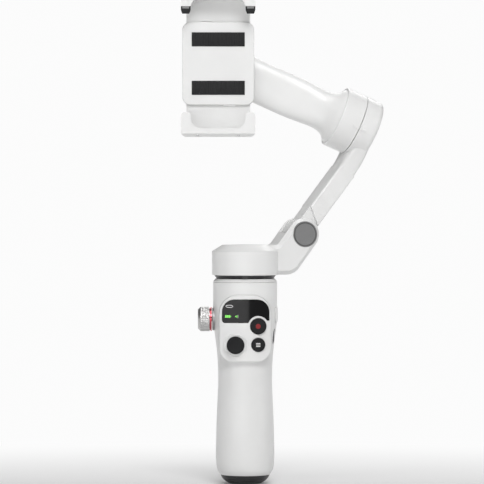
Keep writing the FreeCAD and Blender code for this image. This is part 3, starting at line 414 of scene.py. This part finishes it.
def rounded_block(bm, low, high, radius, segments=3):
    """A block with rounded edges, added to a bmesh."""
    verts = bmesh.ops.create_cube(bm, size=1.0)["verts"]
    bmesh.ops.scale(bm, vec=high - low, verts=verts)
    bmesh.ops.translate(bm, vec=(low + high) / 2, verts=verts)
    edges = list({edge for vert in verts for edge in vert.link_edges})
    bmesh.ops.bevel(bm, geom=edges, offset=radius, segments=segments, profile=0.5,
                    affect="EDGES", clamp_overlap=True)


def lathe(bm, profile, centre, axis, start, steps=64, close=False):
    """Turn a list of (radius, along) about an axis. start is a direction across the axis.
    close joins the last point of the profile to the first, for a ring."""
    side = axis.cross(start)
    rings = []
    for k in range(steps):
        angle = 2 * math.pi * k / steps
        out = start * math.cos(angle) + side * math.sin(angle)
        rings.append([bm.verts.new(centre + out * r + axis * a) for r, a in profile])
    count = len(profile)
    for k in range(steps):
        here, there = rings[k], rings[(k + 1) % steps]
        for j in range(count if close else count - 1):
            after = (j + 1) % count
            bm.faces.new((here[j], here[after], there[after], there[j]))
    return rings


# ---------------------------------------------------------------- display marks

PANEL_CURVE_R = 34 * MM
MARK_HEIGHT = 0.05 * MM
LEVEL_AT = (0.155, 0.71)
LEVEL_HALF = (2.15 * MM, 0.72 * MM)
LEVEL_STEPS = 40
BATTERY_AT = (0.12, 0.28)
BATTERY_CELL_PITCH = 1.15 * MM
BATTERY_CELL_WIDTH = 1.0 * MM
BATTERY_NUB = 1.95 * MM
BATTERY_NUB_WIDTH = 0.35 * MM
SIGNAL_AT = (0.285, 0.28)
SIGNAL_LIT_ARCS = ((0.55 * MM, 60), (1.15 * MM, 48))
SIGNAL_UNLIT_ARC = (1.75 * MM, 40)
SIGNAL_DOT_R = 0.14 * MM
BROAD_LINE = 0.34 * MM
FINE_LINE = 0.3 * MM


def on_glass(x, z, lift):
    """A point on the display window's curved front."""
    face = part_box("display_window")[0].y
    sag = PANEL_CURVE_R - math.sqrt(PANEL_CURVE_R ** 2 - x ** 2)
    return Vector((x, face + sag - lift, z))


def stroke(bm, path, width, place, closed=False):
    """A raised line of even width that follows a path of (x, z) points on a surface."""
    count = len(path)
    sides = []
    for k, (x, z) in enumerate(path):
        before = path[(k - 1) % count] if closed or k > 0 else path[k]
        after = path[(k + 1) % count] if closed or k < count - 1 else path[k]
        run = Vector((after[0] - before[0], after[1] - before[1])).normalized()
        dx, dz = -run.y * width / 2, run.x * width / 2
        sides.append([bm.verts.new(place(x + dx, z + dz, 0.0)),
                      bm.verts.new(place(x + dx, z + dz, MARK_HEIGHT)),
                      bm.verts.new(place(x - dx, z - dz, MARK_HEIGHT)),
                      bm.verts.new(place(x - dx, z - dz, 0.0))])
    last = count if closed else count - 1
    for k in range(last):
        here, there = sides[k], sides[(k + 1) % count]
        for j in range(4):
            after = (j + 1) % 4
            bm.faces.new((here[j], here[after], there[after], there[j]))
    if not closed:
        bm.faces.new(sides[0])
        bm.faces.new(sides[-1][::-1])


def arc(centre, radius, start, end, steps=16):
    """Points along an arc, from one angle to another in degrees."""
    angles = [math.radians(start + (end - start) * k / steps) for k in range(steps + 1)]
    return [(centre[0] + radius * math.cos(a), centre[1] + radius * math.sin(a)) for a in angles]


def glowing(name, color, strength):
    """A lit display segment behind smoked glass, with a slightly uneven glow."""
    finish = Finish(name, color, 0.35)
    finish.tint(finish.ranged(finish.noise(0.8 * MM, 2.0), 0, 1), 0.8, 1.1)
    finish.set(Emission_Color=(*color, 1), Emission_Strength=strength)
    return finish.material


def make_display_marks():
    """A level mark over a battery and a signal, placed by shares of the window's width and height."""
    low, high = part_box("display_window")
    width, height = high.x - low.x, high.z - low.z
    white = glowing("lit_white", (0.62, 0.62, 0.62), 0.25)
    green = glowing("lit_green", (0.22, 0.78, 0.12), 0.30)
    grey = glowing("lit_grey", (0.30, 0.30, 0.30), 0.05)

    def in_window(share):
        return (low.x + share[0] * width, low.z + share[1] * height)

    level = in_window(LEVEL_AT)
    half_w, half_h = LEVEL_HALF
    ring = []
    for k in range(LEVEL_STEPS):
        a = 2 * math.pi * k / LEVEL_STEPS
        ring.append((level[0] + half_w * math.copysign(abs(math.cos(a)) ** 1.2, math.cos(a)),
                     level[1] + half_h * math.copysign(abs(math.sin(a)) ** 0.8, math.sin(a))))
    bm = bmesh.new()
    stroke(bm, ring, BROAD_LINE, on_glass, closed=True)
    add_piece("display_level_mark", bm, white, "handle")

    cell = in_window(BATTERY_AT)
    bm = bmesh.new()
    for k in range(3):
        x = cell[0] + (k - 1) * BATTERY_CELL_PITCH
        path = [(x, cell[1] + t * MM) for t in (-0.85, -0.3, 0.3, 0.85)]
        stroke(bm, path, BATTERY_CELL_WIDTH, on_glass)
    nub = cell[0] + BATTERY_NUB
    stroke(bm, [(nub, cell[1] + t * MM) for t in (-0.4, 0.4)], BATTERY_NUB_WIDTH, on_glass)
    add_piece("display_battery_mark", bm, green, "handle")

    signal = in_window(SIGNAL_AT)
    bm = bmesh.new()
    for radius, half_turn in SIGNAL_LIT_ARCS:
        stroke(bm, arc(signal, radius, -half_turn, half_turn), BROAD_LINE, on_glass)
    stroke(bm, arc(signal, SIGNAL_DOT_R, 0, 345), FINE_LINE, on_glass)
    add_piece("display_signal_mark", bm, green, "handle")
    bm = bmesh.new()
    radius, half_turn = SIGNAL_UNLIT_ARC
    stroke(bm, arc(signal, radius, -half_turn, half_turn), FINE_LINE, on_glass)
    add_piece("display_signal_arc", bm, grey, "handle")


# ---------------------------------------------------------------- button marks

RECORD_DOT = (1.6 * MM, 0.08 * MM)
BAR_HALF = 1.35 * MM
BAR_PITCH = 0.95 * MM
BAR_WIDTH = 0.46 * MM


def flat_disc(bm, centre, radius, height, steps=40):
    """A low round inlay with an eased rim, facing the front."""
    profile = [(radius, 0.0), (radius, height * 0.5), (radius - height * 0.5, height),
               (radius * 0.5, height), (0.02 * MM, height)]
    lathe(bm, profile, centre, Vector((0, -1, 0)), Vector((1, 0, 0)), steps)


def make_button_marks():
    """The red dot on the record button and three bars on the mode button."""
    low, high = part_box("record_button")
    middle = (low + high) / 2
    red = moulded("record_red", (0.22, 0.001, 0.003), 0.5)
    bm = bmesh.new()
    flat_disc(bm, Vector((middle.x, low.y, middle.z)), *RECORD_DOT)
    add_piece("record_dot", bm, red.material, "record_button")

    low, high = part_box("mode_button")
    middle = (low + high) / 2
    white = moulded("printed_white", (0.86, 0.86, 0.85), 0.45)
    bm = bmesh.new()

    def on_button(x, z, lift):
        return Vector((x, low.y - lift, z))

    for k in (-1, 0, 1):
        z = middle.z + k * BAR_PITCH
        stroke(bm, [(middle.x - BAR_HALF, z), (middle.x + BAR_HALF, z)], BAR_WIDTH, on_button)
    add_piece("mode_bars", bm, white.material, "mode_button")


# ---------------------------------------------------------------- focus wheel

WHEEL_TEETH = 36
WHEEL_BANDS = 5
KNURL_DEPTH = 0.24 * MM
KNURL_ROWS = 44
STEPS_PER_TOOTH = 6
WHEEL_BEVEL = 1.7 * MM
WHEEL_SHAFT_R = 1.5 * MM


def make_knurled_wheel(materials):
    """The turned wheel with its fine diamond knurl, chamfered outer end and dished face."""
    low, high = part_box("focus_wheel")
    centre = Vector((0, (low.y + high.y) / 2, (low.z + high.z) / 2))
    radius = (high.z - low.z) / 2
    ring_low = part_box("wheel_accent_ring")[0]
    x0, x1 = low.x, ring_low.x
    axis, start = Vector((1, 0, 0)), Vector((0, 0, 1))
    bevel = WHEEL_BEVEL
    knurl_from, knurl_to = x0 + bevel + 0.15 * MM, x1 - 0.55 * MM
    plain = [(1.0 * MM, x0 + 0.7 * MM), (4.3 * MM, x0 + 0.7 * MM), (4.6 * MM, x0 + 0.5 * MM),
             (4.6 * MM, x0 + 0.12 * MM), (4.75 * MM, x0), (radius - bevel - 0.1 * MM, x0),
             (radius - bevel + 0.05 * MM, x0 + 0.06 * MM), (radius - 0.08 * MM, x0 + bevel - 0.05 * MM),
             (radius - 0.02 * MM, x0 + bevel + 0.08 * MM)]
    knurl = [(radius, knurl_from + (knurl_to - knurl_from) * k / KNURL_ROWS)
             for k in range(KNURL_ROWS + 1)]
    back = [(radius, x1 - 0.45 * MM), (radius - 0.1 * MM, x1 - 0.35 * MM), (radius - 0.15 * MM, x1),
            (WHEEL_SHAFT_R, x1), (WHEEL_SHAFT_R, high.x), (0.02 * MM, high.x)]
    bm = bmesh.new()
    steps = WHEEL_TEETH * STEPS_PER_TOOTH
    rings = lathe(bm, plain + knurl + back, centre, axis, start, steps)
    first = len(plain)
    pitch = 2 * math.pi * radius / WHEEL_TEETH
    band = (knurl_to - knurl_from) / WHEEL_BANDS
    for k, ring in enumerate(rings):
        around = radius * 2 * math.pi * k / steps
        for j in range(1, KNURL_ROWS):
            along = knurl[j][1] - knurl_from
            one = abs(math.sin(math.pi * around / pitch))
            two = abs(math.sin(math.pi * along / band))
            drop = KNURL_DEPTH * (1.0 - min(1.0, 1.9 * one, 1.9 * two + 0.15))
            vert = ring[first + j]
            out = vert.co - centre
            out.x = 0
            vert.co -= out.normalized() * drop
    wheel = add_piece("knurled_wheel", bm, materials["wheel_silver"], "focus_wheel", 50)
    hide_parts("focus_wheel")


# ---------------------------------------------------------------- rubber pads

RIB_RISE = 0.3 * MM
RIB_HALF_SHARE = 0.28
CLAMP_RIB_PITCH = 1.6 * MM
JAW_RIB_PITCH = 1.0 * MM
TALLEST_FLAT_PAD = 2 * MM
TIP_STEPS = 24


def ribbed_pad(bm, low, high, face, rise, pitch, radius):
    """A pad with rounded edges whose face carries a row of ribs. face is an axis and a sign."""
    axis, sign = face
    base_low, base_high = low.copy(), high.copy()
    if sign > 0:
        base_high[axis] -= rise
    else:
        base_low[axis] += rise
    rounded_block(bm, base_low, base_high, radius)
    across = 0 if axis != 0 else 1
    span = high[across] - low[across] - 2 * radius
    count = max(2, int(span / pitch))
    for k in range(count):
        middle = low[across] + radius + span * (k + 0.5) / count
        rib_low, rib_high = low.copy(), high.copy()
        rib_low[across] = middle - pitch * RIB_HALF_SHARE
        rib_high[across] = middle + pitch * RIB_HALF_SHARE
        for other in range(3):
            if other not in (axis, across):
                rib_low[other] += radius * 1.2
                rib_high[other] -= radius * 1.2
        if sign > 0:
            rib_low[axis] = high[axis] - 2 * rise
        else:
            rib_high[axis] = low[axis] + 2 * rise
        rounded_block(bm, rib_low, rib_high, rise * 0.7, 2)


def make_pads(materials):
    """Ribbed rubber in place of the plain CAD pads of the clamp plate and the lower jaw."""
    rubber = materials["soft_rubber"]
    bm = bmesh.new()
    for low, high in solid_boxes("clamp_pads"):
        ribbed_pad(bm, low, high, (1, -1), RIB_RISE, CLAMP_RIB_PITCH, 0.4 * MM)
    pads = add_piece("ribbed_clamp_pads", bm, rubber, "clamp_body")
    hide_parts("clamp_pads")

    bm = bmesh.new()
    for low, high in solid_boxes("lower_jaw_pads"):
        ribbed_pad(bm, low, high, (2, 1), RIB_RISE, JAW_RIB_PITCH, 0.3 * MM)
    pads = add_piece("ribbed_lower_pads", bm, rubber, "lower_jaw")
    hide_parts("lower_jaw_pads")


def finger_tip(bm, low, high):
    """Rubber tip of an upper finger: full width where it meets the finger, drawn in at the end."""
    width, deep = high.x - low.x, high.y - low.y
    middle = (low + high) / 2
    levels = [(0.0, 0.70, 0.55), (0.06, 0.76, 0.72), (0.30, 0.90, 0.94), (0.55, 1.0, 1.0),
              (1.0, 1.0, 1.0)]
    rings = []
    for share, wide, thick in levels:
        z = low.z + (high.z - low.z) * share
        ring = []
        for k in range(TIP_STEPS):
            a = 2 * math.pi * k / TIP_STEPS
            x = math.copysign(abs(math.cos(a)) ** 0.35, math.cos(a)) * width / 2 * wide
            y = math.copysign(abs(math.sin(a)) ** 0.35, math.sin(a)) * deep / 2 * thick
            ring.append(bm.verts.new((middle.x + x, middle.y + y, z)))
        rings.append(ring)
    for here, there in zip(rings, rings[1:]):
        for k in range(TIP_STEPS):
            after = (k + 1) % TIP_STEPS
            bm.faces.new((here[k], here[after], there[after], there[k]))
    bm.faces.new(rings[0])
    bm.faces.new(rings[-1][::-1])


def make_upper_pads(materials):
    """The upper jaw's ribbed pads and the rubber tips of its fingers, each with a grey band of painted
    highlight across the black rubber.
    """
    rubber = materials["soft_rubber"]
    # grey colour painted on the finger tips as their highlight
    grey = moulded("painted_highlight_rubber", (0.20, 0.20, 0.20), 0.55, 0.25 * MM, 0.02 * MM)
    bm = bmesh.new()
    highlight_bands = bmesh.new()
    for low, high in solid_boxes("upper_jaw_pads"):
        if high.z - low.z < TALLEST_FLAT_PAD:
            ribbed_pad(bm, low, high, (2, -1), RIB_RISE, JAW_RIB_PITCH, 0.3 * MM)
            continue
        finger_tip(bm, low, high)
        highlight_band_low = Vector((low.x + 0.9 * MM, low.y - 0.02 * MM, high.z - 1.5 * MM))
        highlight_band_high = Vector((high.x - 0.9 * MM, low.y + 0.3 * MM, high.z - 0.15 * MM))
        rounded_block(highlight_bands, highlight_band_low, highlight_band_high, 0.12 * MM)
    pads = add_piece("upper_jaw_rubber", bm, rubber, "upper_jaw")
    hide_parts("upper_jaw_pads")
    add_piece("upper_tip_highlight_bands", highlight_bands, grey.material, "upper_jaw")


# ---------------------------------------------------------------- hinge cap rings of painted groove shade

CAP_RING = (7.0 * MM, 7.62 * MM)
CAP_RING_DEPTH = 0.3 * MM
CAP_HALF_THICK = 0.65 * MM


def make_cap_shade_rings():
    """Painted shade: a dark ring that fills the groove round the rim of each hinge cap, standing in for
    the groove's shadow.
    """
    # dark grey colour painted into the groove as its shade
    groove_shade = moulded("painted_shade_ring", (0.11, 0.11, 0.11), 0.5)
    front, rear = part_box("hinge_front_cap"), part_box("hinge_rear_cap")
    front_mid, rear_mid = (front[0] + front[1]) / 2, (rear[0] + rear[1]) / 2
    axis = (front_mid - rear_mid).normalized()
    start = Vector((0, 0, 1))
    joints = RECORD["behaviour"]["joints"]
    hinge = next(joint for joint in joints if joint["name"] == "fold_hinge")
    centre = Vector(hinge["pos_m"])
    bm = bmesh.new()
    inner, outer = CAP_RING
    profile = [(inner, -CAP_RING_DEPTH), (inner, -0.06 * MM), (inner + 0.05 * MM, -0.02 * MM),
               (outer - 0.05 * MM, -0.02 * MM), (outer, -0.06 * MM), (outer, -CAP_RING_DEPTH)]
    for out in (axis, -axis):
        middle = centre + out * ((front_mid - centre).dot(axis) if out == axis
                                 else (centre - rear_mid).dot(axis))
        lathe(bm, profile, middle + out * CAP_HALF_THICK, out, start, 72, close=True)
    add_piece("hinge_cap_shade_rings", bm, groove_shade.material, "pan_body")


# ---------------------------------------------------------------- small fasteners

SCREW_STEPS = 24


def hex_screw(bm, centre, axis, radius, height):
    """A round screw head with a hexagon socket, its top at the given centre."""
    start = Vector((1, 0, 0)) if abs(axis.x) < 0.5 else Vector((0, 1, 0))
    side = axis.cross(start)
    outer, inner, floor = [], [], []
    for k in range(SCREW_STEPS):
        a = 2 * math.pi * k / SCREW_STEPS
        out = start * math.cos(a) + side * math.sin(a)
        outer.append([bm.verts.new(centre + out * radius - axis * height),
                      bm.verts.new(centre + out * radius - axis * radius * 0.12),
                      bm.verts.new(centre + out * radius * 0.88)])
        sector = (a + math.pi / 6) % (math.pi / 3) - math.pi / 6
        reach = radius * 0.5 / math.cos(sector)
        inner.append(bm.verts.new(centre + out * reach))
        floor.append(bm.verts.new(centre + out * reach - axis * height * 0.7))
    for k in range(SCREW_STEPS):
        after = (k + 1) % SCREW_STEPS
        for j in range(2):
            bm.faces.new((outer[k][j], outer[k][j + 1], outer[after][j + 1], outer[after][j]))
        bm.faces.new((outer[k][2], inner[k], inner[after], outer[after][2]))
        bm.faces.new((inner[k], floor[k], floor[after], inner[after]))
    bm.faces.new(floor)
    bm.faces.new([ring[0] for ring in outer][::-1])


JAW_SCREW_X = 13.0 * MM
JAW_SCREW_Y = -10.4 * MM
JAW_SCREW_SINK = 0.55 * MM
JAW_SCREW_R = 0.86 * MM
JAW_SCREW_HEAD = 0.9 * MM
THREAD_PITCH = 25.4 * MM / 20
THREAD_ROOT = 3.17 * MM
THREAD_STEPS = 48


def make_jaw_screws(materials):
    """The two small screws on the outer face of each jaw."""
    for jaw, up in (("lower_jaw", -1), ("upper_jaw", 1)):
        low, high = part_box(jaw)
        middle = (low.x + high.x) / 2
        bm = bmesh.new()
        for side in (-1, 1):
            z = high.z - JAW_SCREW_SINK if up > 0 else low.z + JAW_SCREW_SINK
            centre = Vector((middle + side * JAW_SCREW_X, JAW_SCREW_Y, z))
            hex_screw(bm, centre, Vector((0, 0, up)), JAW_SCREW_R, JAW_SCREW_HEAD)
        add_piece(jaw + "_screws", bm, materials["steel"], jaw, 25)


def make_thread(materials):
    """The 20 turns per inch thread inside the brass insert."""
    low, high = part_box("tripod_insert")
    pitch, root, steps = THREAD_PITCH, THREAD_ROOT, THREAD_STEPS
    crest = root - 0.60 * pitch
    turns = (high.z - low.z - 0.4 * MM) / pitch
    count = int(turns * steps)
    bm = bmesh.new()
    rows = []
    for k in range(count + 1):
        a = 2 * math.pi * k / steps
        z = low.z + 0.2 * MM + pitch * k / steps
        ease = min(1.0, k / steps * 2, (count - k) / steps * 2)
        r = root - (root - crest) * ease
        out = Vector((math.cos(a), math.sin(a), 0))
        foot = out * (root + 0.05 * MM)
        rows.append([bm.verts.new(foot + Vector((0, 0, z - 0.44 * pitch * ease))),
                     bm.verts.new(out * r + Vector((0, 0, z - 0.06 * pitch))),
                     bm.verts.new(out * r + Vector((0, 0, z + 0.06 * pitch))),
                     bm.verts.new(foot + Vector((0, 0, z + 0.44 * pitch * ease)))])
    for here, there in zip(rows, rows[1:]):
        for j in range(4):
            after = (j + 1) % 4
            bm.faces.new((here[j], here[after], there[after], there[j]))
    bm.faces.new(rows[0])
    bm.faces.new(rows[-1][::-1])
    add_piece("tripod_thread_turns", bm, materials["brass_insert"], "handle")


# ---------------------------------------------------------------- build

bpy.context.scene.view_settings.view_transform = "Standard"
make_camera()
make_lights()
make_world()
make_floor()
finishes = make_materials()
dress_cad_nodes(finishes)
make_display_marks()
make_button_marks()
make_knurled_wheel(finishes)
make_pads(finishes)
make_upper_pads(finishes)
make_cap_shade_rings()
make_jaw_screws(finishes)
make_thread(finishes)
